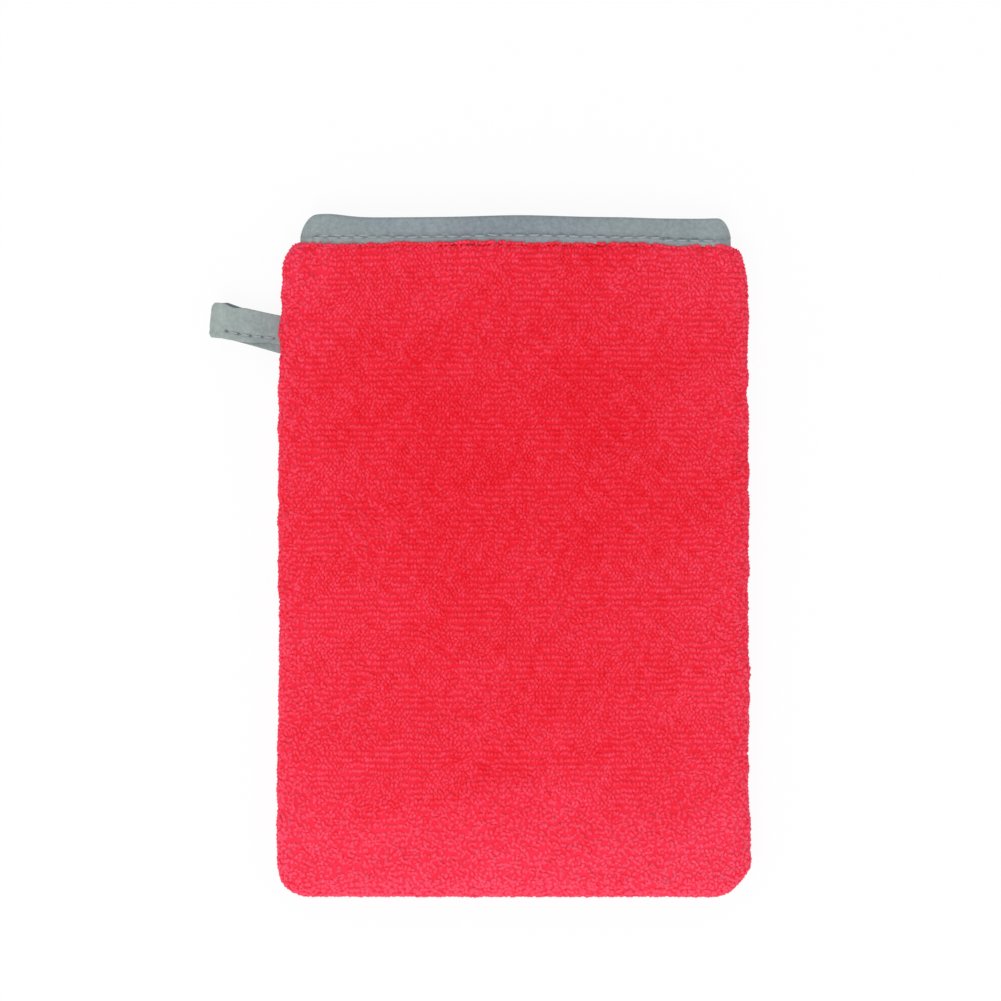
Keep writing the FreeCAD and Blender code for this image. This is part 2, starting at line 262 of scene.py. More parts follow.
def panel_cloth(name, face, material):
    """A panel's base cloth and, along its seam, the sewn allowance."""
    side = 1 if face is palm_face else -1
    rows = np.arange(FINGER_Y - WRAP, TONGUE_END_Y, CLOTH_STEP)[:, None]
    up = np.clip(FINGER_Y + CORNER_RADIUS - rows, 0, CORNER_RADIUS + WRAP)
    spread = np.linspace(-1, 1, 101)[None, :]
    reach = half_width(spread, rows) - CORNER_RADIUS + np.sqrt((CORNER_RADIUS + WRAP) ** 2 - up**2)
    s, t = reach * spread, rows + 0 * spread
    here, _, _, out = wrapped_axes(s, t, face)
    distance = from_seam(s, t)[0]

    # Between the binding's leaves the cloth is pressed thin, and lies deeper than beside them.
    caught = smooth(t, TERRY_END_Y - 1.7, TERRY_END_Y - 0.6)
    depth = PILE_DEPTH - 0.5 + 0.4 * (1 - smooth(distance, 0, 2.5)) + pulled_down(t) - puffed(t, distance)
    depth = depth + 2.15 * caught
    outer = here - out * depth[..., None]
    inner = here - out * (WALL - 0.1 * caught)[..., None]

    # Along the seam the inner side lies on the other panel's allowance, up to the allowance's raw edge.
    seam_side = SEAM_Z + side * LEAST_PLY_GAP
    sewn = 1 - smooth(distance, ALLOWANCE_REACH - 8.5 * caught, ALLOWANCE_REACH + 1 - 4.5 * caught)
    inner[..., 2] += (seam_side - inner[..., 2]) * sewn
    outer[..., 2] = np.where(distance < 0.05, seam_side, outer[..., 2])
    ply_side = seam_side + side * ALLOWANCE_PLY
    outer[..., 2] += (ply_side - outer[..., 2]) * sewn * caught * smooth(distance, 1.5, 5)

    tone = pile_tone(here[..., 0], here[..., 1], distance)
    # The cloth shows between the loops and takes mostly the feet's darker colour: painted shade.
    return cloth_shell(name, outer, inner, material, lift=(0.36, -1.0), tone=(tone, tone))


def bent_yarn(yarn_radius, span, rise, turn, segments, sides):
    """A short yarn bent over in an arc along X, with its open ends at height 0."""
    shape = bmesh.new()
    radius = span / 2 / math.sin(turn / 2)
    lean = (math.pi - turn) / 2
    ring = bmesh.ops.create_circle(shape, segments=sides, radius=yarn_radius)["verts"]
    bmesh.ops.translate(shape, verts=ring, vec=(radius, 0, 0))
    bmesh.ops.spin(shape, geom=shape.verts[:] + shape.edges[:], cent=(0, 0, 0), axis=(0, -1, 0),
                   angle=turn, steps=segments, use_duplicate=False)
    drop = radius * math.sin(lean)
    for vert in shape.verts:
        x = vert.co.x * math.cos(lean) - vert.co.z * math.sin(lean)
        z = vert.co.x * math.sin(lean) + vert.co.z * math.cos(lean)
        vert.co = (x, vert.co.y, (z - drop) * rise / (radius + yarn_radius - drop))
    bmesh.ops.recalc_face_normals(shape, faces=shape.faces)
    return shape


def repeated(name, shape, feet, axes, material, body="mitt", **values):
    """Copies of one small shape, each on its own foot and axes, in as many pieces as they need."""
    shape.verts.index_update()
    points = np.array([vert.co[:] for vert in shape.verts])
    corners = np.array([[vert.index for vert in face.verts] for face in shape.faces])
    shape.free()
    placed = feet[:, None] + np.einsum("nij,pj->npi", axes, points)
    placed[..., 2] = np.maximum(placed[..., 2], LEAST_HEIGHT)
    # Each point's height in its shape, 0 to 1, by which the terry paints shade low and sheen high.
    values["lift"] = np.clip(points[:, 2] / points[:, 2].max(), 0, 1) + np.zeros((len(feet), 1))
    pieces = []
    share = MOST_TRIANGLES // (2 * len(corners))
    for start in range(0, len(feet), share):
        chosen = slice(start, start + share)
        few = placed[chosen]
        faces = (corners + (np.arange(len(few)) * len(points))[:, None, None]).reshape(-1, 4)
        mesh = bpy.data.meshes.new(f"{name}_{len(pieces) + 1}")
        mesh.vertices.add(few.size // 3)
        mesh.vertices.foreach_set("co", 0.001 * few.ravel())
        mesh.loops.add(faces.size)
        mesh.loops.foreach_set("vertex_index", faces.ravel())
        mesh.polygons.add(len(faces))
        mesh.polygons.foreach_set("loop_start", np.arange(0, faces.size, 4))
        mesh.update(calc_edges=True)
        for key, value in values.items():
            by_point = value if np.ndim(value) == 2 else value[:, None]
            by_point = np.broadcast_to(by_point, placed.shape[:2])[chosen]
            mesh.attributes.new(key, "FLOAT", "POINT").data.foreach_set("value", by_point.ravel())
        pieces.append(new_piece(mesh.name, mesh, material, body))
    return pieces


def terry_end(s):
    """Where the pile ends at the binding: a wavy line that comes up beside the tape at both corners."""
    waves = 0.5 * hump(s, -12, 12) - 0.3 * hump(s, -50, 12)
    waves = waves - 0.2 * smooth(s, 24, 32) - 0.7 * smooth(s, 43, 51)
    corners = 1.2 * smooth(abs(s), 66, 68.5)
    return TERRY_END_Y + waves + corners + 0.3 * smooth(s, 54, 60) + 0.12 * drift(s, 0 * s, 12, 14)


def seam_rings(*distances, step):
    """Places on the flat cloth in lines along the closing seam, down both sides and across the fingers."""
    places = []
    corner_y = FINGER_Y + CORNER_RADIUS
    for distance in distances:
        radius = CORNER_RADIUS + WRAP - distance
        turn = np.arange(0, math.pi / 2, step / radius)
        side_t = np.arange(TERRY_END_Y - 0.6, corner_y, -step)
        t = np.concatenate([side_t, corner_y - radius * np.sin(turn)])
        reach = np.concatenate([radius + 0 * side_t, radius * np.cos(turn)]) - CORNER_RADIUS
        places += [(side * (half_width(side, t) + reach), t) for side in (-1, 1)]
        left, right = CORNER_RADIUS - half_width(-1, corner_y), half_width(1, corner_y) - CORNER_RADIUS
        end_s = np.arange(left, right, step)
        places.append((end_s, corner_y - radius + 0 * end_s))
    return [np.concatenate(values) for values in zip(*places)]


def pile(name, face, material, seed, segments, sides, layers):
    """One panel's yarn loops, standing on its base cloth, with a lower second layer between the first."""
    rng = np.random.default_rng(seed)

    # Rows of loops over the whole cloth, with the second layer between them.
    edge = HALF_WIDTH + WRAP
    row_t = np.arange(TERRY_END_Y - 0.6, FINGER_Y - WRAP, -ROW_PITCH)
    s, t = np.meshgrid(np.arange(-edge, edge, LOOP_PITCH), row_t)
    low = np.repeat(np.arange(layers), s.size)
    s = np.tile(s.ravel(), layers) + LOOP_PITCH / 2 * low
    t = np.tile(t.ravel(), layers)
    last_row = (t > TERRY_END_Y - 1) & (low == 0)
    shifted = np.where(t > TERRY_END_Y - 1, -0.5, 0.5 * smooth(drift(s, t, 16, seed + 3), -0.6, 0.5))
    t = t + ROW_PITCH * shifted * low

    # They stray from their rows where the pile is tangled, and some of the second layer is missing there.
    distance = from_seam(s, t)[0]
    by_edge = 1 - smooth(distance, 4, 20)
    by_fingers = 1 - smooth(t, FINGER_Y + 5, FINGER_Y + 50)
    tangle = np.clip(0.12 + 0.9 * by_edge + 0.9 * by_fingers + 0.25 * drift(s, t, 34, seed + 1), 0.05, 1.0)
    s = s + rng.normal(0, 0.14 + 0.30 * tangle)
    stray = rng.normal(0, 0.16 + 0.36 * tangle) + 0.25 * drift(s, t, 9, seed + 2)
    t = t + stray * (1 - 0.7 * last_row)
    t = t + (terry_end(s) - TERRY_END_Y) * smooth(t, TERRY_END_Y - 25, TERRY_END_Y)
    missing = (low == 1) & (t < TERRY_END_Y - 4) & (rng.random(len(s)) < 0.05 + 0.18 * tangle)
    keep = (from_seam(s, t)[0] > 2.2) & (t < terry_end(s) - 0.2) & ~missing
    s, t, low, tangle, last_row = s[keep], t[keep], low[keep], tangle[keep], last_row[keep]

    # Two more lines of loops follow the closing seam and hide it.
    ring_s, ring_t = seam_rings(0.45, 1.6, step=1.15)
    s = np.append(s, ring_s + rng.normal(0, 0.15, len(ring_s)))
    t = np.append(t, ring_t + rng.normal(0, 0.15, len(ring_s)))
    low, tangle, last_row = (np.append(value, np.full(len(ring_s), rest, value.dtype))
                             for value, rest in ((low, 0), (tangle, 1), (last_row, False)))

    # Each loop has its own turn, lean and size. Those by the tape are pulled down with the cloth, and the
    # last row stands in line with the tape.
    here, across, along, out = wrapped_axes(s, t, face)
    distance = from_seam(s, t)[0]
    yaw = USUAL_TURN * ~last_row + rng.normal(0, 0.35 + 0.85 * tangle * ~last_row)
    yaw = yaw + 0.3 * drift(s, t, 20, seed + 4)
    lean = rng.normal(0, 0.18 + 0.25 * tangle) * (1 - 0.7 * last_row)
    size = rng.normal(1.0, 0.08, len(s)) * (1 + 0.12 * tangle + 0.25 * puffed(t, distance))
    span = np.cos(yaw)[:, None] * across + np.sin(yaw)[:, None] * along
    up = unit(out + np.tan(lean)[:, None] * np.cross(out, span))
    span = unit(span - up * np.sum(span * up, 1, keepdims=True))
    by_tape = smooth(t, TERRY_END_Y - 5, TERRY_END_Y - 1)
    size = (size * (1 + 0.15 * by_tape))[:, None]
    axes = np.stack([span * size, np.cross(up, span) * size, up * (1 + by_tape)[:, None]], 2)
    sink = PILE_DEPTH * (1 + by_tape) + 0.25 * low + rng.normal(0, 0.08, len(s))
    sink = sink + pulled_down(t) - puffed(t, distance)
    # Random tone for each loop, and painted shade: the lower second layer is a little darker.
    tone = pile_tone(here[:, 0], here[:, 1], distance) + rng.normal(0, 0.06, len(s)) - 0.05 * low
    shape = bent_yarn(YARN_RADIUS, LOOP_SPAN, PILE_DEPTH, math.pi, segments, sides)
    return repeated(name, shape, here - out * sink[:, None], axes, material, tone=tone)


def node(tree, kind, *inputs, **settings):
    """A shader node with its settings, and with inputs given as links or as plain values."""
    made = tree.nodes.new(kind)
    for key, value in settings.items():
        setattr(made, key, value)
    for key, value in inputs:
        if isinstance(value, bpy.types.NodeSocket):
            tree.links.new(value, made.inputs[key])
        else:
            made.inputs[key].default_value = value
    return made


def new_material(name, roughness, specular, sheen, sheen_tint=(1, 1, 1, 1)):
    """A material with the plain values that are the same all over a surface."""
    material = bpy.data.materials.new(name)
    material.use_nodes = True
    shader = material.node_tree.nodes["Principled BSDF"]
    shader.inputs["Roughness"].default_value = roughness
    shader.inputs["Specular IOR Level"].default_value = specular
    shader.inputs["Sheen Weight"].default_value = sheen
    shader.inputs["Sheen Roughness"].default_value = 0.4
    shader.inputs["Sheen Tint"].default_value = sheen_tint
    return material, material.node_tree, shader


def blended(tree, share, first, second):
    """A colour between two others."""
    return node(tree, "ShaderNodeMix", (0, share), (6, first), (7, second), data_type="RGBA").outputs[2]


def terry_finish():
    """Red microfibre yarn: painted shade deep between the loops, painted sheen on their tops, pinker by tone.
    """
    material, tree, shader = new_material("terry", roughness=0.95, specular=0.03, sheen=0.03,
                                          sheen_tint=(1.0, 0.45, 0.5, 1))
    shader.inputs["Subsurface Weight"].default_value = 0.4
    shader.inputs["Subsurface Radius"].default_value = (1.0, 0.4, 0.4)
    shader.inputs["Subsurface Scale"].default_value = 0.0006
    lift = node(tree, "ShaderNodeAttribute", attribute_name="lift").outputs["Fac"]
    tone = node(tree, "ShaderNodeAttribute", attribute_name="tone").outputs["Fac"]
    place = node(tree, "ShaderNodeTexCoord").outputs["Object"]
    # The tops' lighter colours are painted sheen, the feet's darker ones painted shade between the loops.
    tops = blended(tree, tone, (0.873, 0.0222, 0.041, 1), (1.00, 0.090, 0.165, 1))
    feet = blended(tree, tone, (0.735, 0.0078, 0.0195, 1), (0.86, 0.023, 0.061, 1))
    height = node(tree, "ShaderNodeMapRange", ("Value", lift), (1, 0.2), (2, 0.85)).outputs[0]
    tree.links.new(blended(tree, height, feet, tops), shader.inputs["Base Color"])
    fibres = node(tree, "ShaderNodeTexNoise", ("Vector", place), ("Scale", 3500.0),
                  ("Detail", 2.0)).outputs["Fac"]
    bump = node(tree, "ShaderNodeBump", ("Height", fibres), ("Strength", 0.25),
                ("Distance", 0.0001)).outputs[0]
    tree.links.new(bump, shader.inputs["Normal"])
    return material


terry = terry_finish()
palm_cloth = panel_cloth("palm_cloth", palm_face, terry)
palm_pile = pile("palm_pile", palm_face, terry, seed=11, segments=4, sides=5, layers=2)
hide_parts("palm_panel")


# --- Back panel ---------------------------------------------------------------------------------------------
# The same terry on the side that the mitt lies on, so its loops are pressed flat against the table. Its edge
# meets the palm's in the closing seam, which the loops of both hide.

back_cloth = panel_cloth("back_cloth", back_face, terry)
back_pile = pile("back_pile", back_face, terry, seed=71, segments=4, sides=4, layers=1)
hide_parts("back_panel")


# --- Mouth binding ------------------------------------------------------------------------------------------
# A smooth knitted tape on each panel, folded over the terry's end so that its fold is the mouth's edge, and
# sewn near its lower edge. Each tape's ends run down into the closing seam, which rounds the mouth's corners.

TAPE_LEFT = binding_low[0] + 1.1
TAPE_RIGHT = binding_high[0] + 0.2
LEFT_ROUNDING, RIGHT_ROUNDING = 5.3, 4.3  # of the fold's line, where each end runs down into the side seam
LIP_Y = binding_low[1] - 2.0  # the outer leaf's lower edge
CORNER_Y = binding_low[1] + 0.4  # the fold's line at the tape's two ends
TAPE = 0.55  # thickness
FOLD_DEPTH = 2.3  # between the leaves' middles, with the panel's cloth between them

thread_low, thread_high = millimetres("palm_cuff_stitches")
ROW_Y = thread_low[1]
STITCH_PITCH = 4.2
STITCH_LENGTH = 3.1
STITCH_COUNT = round((thread_high[0] - thread_low[0] - STITCH_LENGTH) / STITCH_PITCH) + 1
STITCH_X = thread_low[0] + STITCH_LENGTH / 2 + STITCH_PITCH * np.arange(STITCH_COUNT)
ROW_SHIFT = -0.6  # from the groove's line to the stitches in it


def mouth_edge(x):
    """The fold's line: a little high at the left, where the sewing starts, and low at the right."""
    right = 0.3 * smooth(x, 32, 48) - 0.2 * hump(x, 64, 4)
    return binding_high[1] - 1.72 + 1.25 * hump(x, -58.8, 8) + 0.55 * hump(x, 2, 16) - right


def sewn_row(x):
    """The line of the stitches, which wanders a little as the tape was fed by hand."""
    return ROW_Y + 0.55 * hump(x, 2, 18) - 0.1 * smooth(x, 22, 30) - 0.85 * smooth(x, 42, 50)


def tape_relief(x, y):
    """The sewn tape's surface: a groove that each stitch pulls in, a soft lip below it, and slight waves."""
    beat = np.cos(2 * math.pi * (x - STITCH_X[0]) / STITCH_PITCH)
    above = y - sewn_row(x)
    groove = -0.75 * (1 + 0.15 * beat) * hump(above, 0.15, 0.75)
    pucker = -0.07 * beat * hump(above, 1.5, 0.9)
    return groove + pucker + 0.15 * hump(above, -1.3, 0.6) + 0.12 * drift(x, y, 15, 21)


def tape_height(x, crown, middle):
    """The tape's outer face above or below the seam's level, which it runs down to at both ends."""
    from_end = np.minimum(x - TAPE_LEFT, TAPE_RIGHT - x)
    rolled = np.sqrt(1 - (1 - np.clip(from_end / 5.0, 0, 1)) ** 2)
    return 0.5 + (middle - crown * (x / HALF_WIDTH) ** 2 - 0.5) * rolled


def facing(points):
    """The directions out of a grid of points."""
    down, across = np.gradient(points, axis=0), np.gradient(points, axis=1)
    return unit(np.cross(across, down))


def binding(name, side, crown, middle, material):
    """One folded tape: its outer leaf up from the lip, over the fold and down inside the mouth."""
    # Along the tape, the fold's line goes in a quarter turn at each end.
    u = np.linspace(0, 1, 401)
    start = np.clip(u / 0.1, 0, 1) * math.pi / 2
    finish = np.clip((1 - u) / 0.1, 0, 1) * math.pi / 2
    x = np.interp(u, (0.1, 0.9), (TAPE_LEFT + LEFT_ROUNDING, TAPE_RIGHT - RIGHT_ROUNDING))
    x = x - LEFT_ROUNDING * np.cos(start) + RIGHT_ROUNDING * np.cos(finish)
    x = x + 0.3 * np.sin(2 * start) - 0.3 * np.sin(2 * finish)
    fold_y = CORNER_Y + (mouth_edge(x) - CORNER_Y) * np.sin(start) * np.sin(finish)

    # Across it, the middle line goes up the outer leaf, round the fold and down the inner leaf.
    outside = tape_height(x, crown, middle)
    inside = np.maximum(outside - FOLD_DEPTH, 0.04)
    half = np.minimum(TAPE / 2, 0.2 * (outside - inside))
    bend = (outside - inside) / 2 - half
    leaf = np.concatenate([np.linspace(0, 0.36, 21), np.linspace(0.36, 1, 12)[1:]])[:, None]
    turn = np.linspace(0, math.pi, 11)[1:-1, None]
    bend_y = fold_y - bend - half
    lip_y = LIP_Y - 0.5 * smooth(x, 42, 50) - 1.0 * (1 - np.sin(start) * np.sin(finish))
    outer_y = lip_y + (bend_y - lip_y) * leaf
    outer_n = outside - half + tape_relief(x, outer_y) * bend / bend.max()
    fold_n = (outside + inside) / 2 + bend * np.cos(turn)
    inner_y = bend_y + (lip_y + 0.8 - bend_y) * np.linspace(0, 1, 12)[:, None]
    y = np.concatenate([outer_y, bend_y + bend * np.sin(turn), inner_y])
    n = np.concatenate([outer_n, fold_n, inside + half + 0 * inner_y])
    middle_points = np.stack([x + 0 * y, y, SEAM_Z + side * n], -1)

    # The two skins come together at the cut edges, and the outer one is pricked where the thread goes in.
    out = facing(middle_points) * side
    path = np.arange(len(y))
    rim = np.minimum(path, path[::-1])
    trim = np.where(rim < 2, 0.45 + 0.4 * rim, 1.0)[:, None] * half
    on_outer_leaf = (path < len(leaf))[:, None]
    # Each prick dents the outer skin and darkens it as painted shade in the hole.
    pits = np.zeros(y.shape)
    for hole in np.concatenate([STITCH_X - STITCH_LENGTH / 2, STITCH_X + STITCH_LENGTH / 2]):
        prick = hump(x, hole, 0.36) * hump(y, sewn_row(x) + ROW_SHIFT, 0.3)
        pits = np.maximum(pits, prick * on_outer_leaf)
    pits = 0.6 * pits
    outer = middle_points + out * (trim - 0.3 * pits)[..., None]
    inner = middle_points - out * trim[..., None]

    shade = 0.45 + 0.36 * hump(x, 0, 36) + 0.1 * smooth(x, -64, -52) + 0.06 * drift(x, y, 25, 27)
    # The lip below the row is paler: a painted highlight where it catches the light.
    shade = shade - 0.15 * smooth(sewn_row(x) - y, 0.8, 1.6)
    return cloth_shell(name, outer, inner, material, pit=(pits, 0.0), shade=(shade, shade))


def tape_finish():
    """Grey knitted tape, finely ribbed, pale green to darker blue by its shade; painted shade in its holes.
    """
    material, tree, shader = new_material("tape", roughness=0.75, specular=0.25, sheen=0.08)
    place = node(tree, "ShaderNodeTexCoord").outputs["Object"]
    pit = node(tree, "ShaderNodeAttribute", attribute_name="pit").outputs["Fac"]
    cloudy = node(tree, "ShaderNodeTexNoise", ("Vector", place), ("Scale", 160.0), ("Detail", 5.0),
                  ("Roughness", 0.6)).outputs["Fac"]
    speckled = node(tree, "ShaderNodeTexNoise", ("Vector", place), ("Scale", 800.0), ("Detail", 3.0),
                    ("Roughness", 0.7)).outputs["Fac"]
    grain = node(tree, "ShaderNodeMix", (0, 0.7), (2, cloudy), (3, speckled)).outputs[0]
    cloudy = node(tree, "ShaderNodeMapRange", ("Value", grain), (1, 0.3), (2, 0.7)).outputs[0]
    shade = node(tree, "ShaderNodeAttribute", attribute_name="shade").outputs["Fac"]
    pale = blended(tree, cloudy, (0.250, 0.306, 0.285, 1), (0.378, 0.444, 0.421, 1))
    deep = blended(tree, cloudy, (0.152, 0.187, 0.216, 1), (0.265, 0.306, 0.346, 1))
    clean = blended(tree, shade, pale, deep)
    # The holes are near black: painted shade.
    tree.links.new(blended(tree, pit, clean, (0.045, 0.050, 0.055, 1)), shader.inputs["Base Color"])
    rib = node(tree, "ShaderNodeTexWave", ("Vector", place), ("Scale", 420.0), ("Distortion", 1.5),
               ("Detail", 1.0), ("Detail Scale", 2.0), wave_type="BANDS", bands_direction="X").outputs["Fac"]
    fuzz = node(tree, "ShaderNodeTexNoise", ("Vector", place), ("Scale", 2200.0),
                ("Detail", 3.0)).outputs["Fac"]
    both = node(tree, "ShaderNodeMath", (0, rib), (1, 0.35), (2, fuzz), operation="MULTIPLY_ADD").outputs[0]
    bump = node(tree, "ShaderNodeBump", ("Height", both), ("Strength", 0.45),
                ("Distance", 0.00012)).outputs[0]
    tree.links.new(bump, shader.inputs["Normal"])
    return material


tape = tape_finish()
palm_tape_height = binding_high[2] - SEAM_Z
back_tape_height = SEAM_Z - millimetres("back_cuff_binding")[0][2]
palm_binding = binding("palm_binding", side=1, crown=CROWN, middle=palm_tape_height, material=tape)
back_binding = binding("back_binding", side=-1, crown=0.0, middle=back_tape_height, material=tape)
for piece, replaced in ((palm_binding, "palm_cuff_binding"), (back_binding, "back_cuff_binding")):
    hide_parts(replaced)


# --- Binding stitches ---------------------------------------------------------------------------------------
# A row of lockstitch along each tape in pale grey polyester thread. It starts with a few stitches sewn twice,
# and each stitch pulls a groove in the tape.

SEWN_TWICE = 4
STITCH_SINK = 0.22  # how far a stitch's ends lie under the tape's surface


def twisted_thread():
    """What all the threads share, as a node group: where they are lighter, and their twist as a bump."""
    group = bpy.data.node_groups.new("twisted_thread", "ShaderNodeTree")
    group.interface.new_socket("Place", in_out="INPUT", socket_type="NodeSocketVector")
    group.interface.new_socket("Lighter", in_out="OUTPUT", socket_type="NodeSocketFloat")
    group.interface.new_socket("Normal", in_out="OUTPUT", socket_type="NodeSocketVector")
    place = node(group, "NodeGroupInput").outputs["Place"]
    uneven = node(group, "ShaderNodeTexNoise", ("Vector", place), ("Scale", 700.0),
                  ("Detail", 3.0)).outputs["Fac"]
    twist = node(group, "ShaderNodeTexWave", ("Vector", place), ("Scale", 1100.0), ("Distortion", 2.0),
                 wave_type="BANDS", bands_direction="DIAGONAL").outputs["Fac"]
    bump = node(group, "ShaderNodeBump", ("Height", twist), ("Strength", 0.4),
                ("Distance", 0.0001)).outputs[0]
    node(group, "NodeGroupOutput", ("Lighter", uneven), ("Normal", bump))
    return group


thread_pattern = twisted_thread()


def thread_finish(name, dark, light):
    """Spun polyester thread between two colours."""
    material, tree, shader = new_material(name, roughness=0.6, specular=0.35, sheen=0.1)
    place = node(tree, "ShaderNodeTexCoord").outputs["Object"]
    pattern = node(tree, "ShaderNodeGroup", ("Place", place), node_tree=thread_pattern).outputs
    tree.links.new(blended(tree, pattern["Lighter"], dark, light), shader.inputs["Base Color"])
    tree.links.new(pattern["Normal"], shader.inputs["Normal"])
    return material


def binding_stitches(name, side, crown, middle, seed):
    """One tape's row of stitches, each sunk a little in the groove."""
    rng = np.random.default_rng(seed)
    x = np.concatenate([STITCH_X, STITCH_X[:SEWN_TWICE] + STITCH_PITCH / 3])
    shift = np.where(np.arange(len(x)) < STITCH_COUNT, ROW_SHIFT, 0.15)
    y = sewn_row(x) + shift + rng.normal(0, 0.06, len(x))
    n = tape_height(x, crown, middle) + tape_relief(x, y) - STITCH_SINK
    slope = side * (tape_height(x + 0.5, crown, middle) - tape_height(x - 0.5, crown, middle))
    span = unit(np.stack([1 + 0 * x, rng.normal(0, 0.05, len(x)), slope], -1))
    up = unit(np.stack([-slope, 0 * x, 1 + 0 * x], -1)) * side
    axes = np.stack([span, np.cross(up, span), up], 2)
    feet = np.stack([x, y, SEAM_Z + side * n], -1)
    shape = bent_yarn(yarn_radius=0.34, span=STITCH_LENGTH, rise=0.55, turn=1.2, segments=8, sides=6)
    piece, = repeated(name, shape, feet, axes, binding_thread)
    return piece


binding_thread = thread_finish("binding_thread", (0.28, 0.322, 0.341, 1), (0.375, 0.42, 0.444, 1))
palm_stitches = binding_stitches("palm_binding_stitches", 1, CROWN, palm_tape_height, seed=5)
back_stitches = binding_stitches("back_binding_stitches", -1, 0.0, back_tape_height, seed=6)
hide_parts("palm_cuff_stitches")
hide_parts("back_cuff_stitches")


# --- Hanging loop -------------------------------------------------------------------------------------------
# A narrow strip of the same tape, folded lengthwise, sewn along its open edge and doubled over. Both tails go
# through the closing seam, and the doubled end stands a little open.

loop_low, loop_high = millimetres("hanging_loop")
tail_low, tail_high = millimetres("loop_tails")
STRIP = 1.0  # thickness
STRIP_HALF = 5.2  # half its width
END_RADIUS = (loop_high[2] - loop_low[2]) / 2
END_X = loop_low[0] + END_RADIUS  # the middle of the round end
TAIL_X = tail_high[0] - 0.4  # the tails' ends in the pocket
BEND_X = tail_low[0] - 0.9  # where the strip leaves the seam
RISE = 0.19  # each ply's slope away from the seam's level
PLY_POINTS = 62

EDGE_MARGIN = 2.2  # from the strip's lower edge to its stitches
EDGE_STITCH = 2.6
EDGE_PITCH = 3.65
EDGE_COUNT = 4
FIRST_STITCH_X = BEND_X - 1.3


def strip_line():
    """The strip's middle line: x, height over the seam, y, lean, and 1 on the front ply to -1 behind."""
    middle_radius = END_RADIUS - STRIP / 2
    angle = math.atan(RISE)
    x = np.linspace(TAIL_X, END_X + middle_radius * math.sin(angle), PLY_POINTS)
    gone = BEND_X - x
    height = 0.56 + RISE * (gone + np.sqrt(gone**2 + 1.2)) / 2
    height += (middle_radius * math.cos(angle) - height[-1]) * smooth(gone, 0, gone[-1])

    # Between the plies, the round end turns back in half a circle.
    turn = np.linspace(math.pi / 2 - angle, 3 * math.pi / 2 + angle, 17)[1:-1]
    far = np.linspace(0, 1, 17)[1:-1]

    # Both plies slant down away from the mitt, the rear one more.
    out = HALF_WIDTH + x
    front_y = 69.8 - 0.19 * out + 0.002 * out**2
    rear_y = 68.6 - 0.28 * out + 0.003 * out**2
    end_y = front_y[-1] + (rear_y[-1] - front_y[-1]) * far
    line_x = np.concatenate([x, END_X + middle_radius * np.cos(turn), x[::-1]])
    line_h = np.concatenate([height, middle_radius * np.sin(turn), -height[::-1]])
    line_y = np.concatenate([front_y, end_y, rear_y[::-1]])
    lean = 0.12 + 0.05 * smooth(x, END_X, BEND_X)
    lean = np.concatenate([lean, lean[-1] + 0 * far, lean[::-1]])
    ply = np.concatenate([1 + 0 * x, np.cos(math.pi * far), -1 + 0 * x])
    return line_x, line_h, line_y, lean, ply


def strip_points(line, w):
    """Points at w millimetres across the strip.

    The front ply's edge dips beside the round end, so that the slot between the plies shows. By the seam its
    lower edge is tucked up, so that the rear ply shows below it.
    """
    x, height, y, lean, ply = (value[:, None] for value in line)
    dip = hump(x, END_X + 2.8, 2.4) * smooth(w, 1.5, STRIP_HALF) * np.clip(ply, 0, 1)
    tucked = 0.26 * smooth(x, BEND_X - 8, BEND_X) * np.clip(ply, 0, 1)
    wide = 1 - 0.5 * lean**2 + (0.14 * hump(x, END_X, 7) - tucked) * (w < 0)
    x = x + 0.22 * np.maximum(END_X - x, 0) * smooth(np.abs(w), STRIP_HALF - 1.6, STRIP_HALF)
    return np.stack([x + lean * w, y + w * wide - 0.8 * dip, SEAM_Z + height - 0.4 * dip], -1)


def hanging_strip():
    """The strip's closed shell, with a groove and needle holes along its sewn edge."""
    line = strip_line()
    across = np.linspace(-1, 1, 41)
    w = STRIP_HALF * (0.6 * np.sin(across * math.pi / 2) + 0.4 * across)[None, :]
    middle = strip_points(line, w)
    out = facing(middle)
    from_edge = np.clip((STRIP_HALF - np.abs(w)) / 0.45 + 0.12, 0, 1)
    half = STRIP / 2 * np.sqrt(1 - (1 - from_edge) ** 2)
    row = -STRIP_HALF + EDGE_MARGIN
    x = line[0][:, None]
    groove = 0.20 * hump(w, row, 0.6) + 0.05 * drift(x, w, 6, 31)
    pits = np.zeros(middle.shape[:2])
    # Needle holes, which dent the outer skin and are darkened as painted shade.
    for step in range(EDGE_COUNT + 1):
        hole = FIRST_STITCH_X + EDGE_PITCH / 2 - EDGE_PITCH * step
        pits = np.maximum(pits, hump(x, hole, 0.62) * hump(w, row, 0.36))
    outer = middle + out * (half - groove - 0.2 * pits)[..., None]
    inner = middle - out * (half + 0 * pits)[..., None]
    shade = 0.05 + 0.4 * smooth(x, END_X, BEND_X) + 0 * w
    # Inside, much darker near the round end, where the slot between the plies shows: painted shadow.
    inner_shade = 0.45 + 0.75 * hump(x, END_X + 2, 7) + 0 * w
    return cloth_shell("hanging_strip", outer, inner, tape, body=None, pit=(pits, 0.0),
                       shade=(shade, inner_shade))


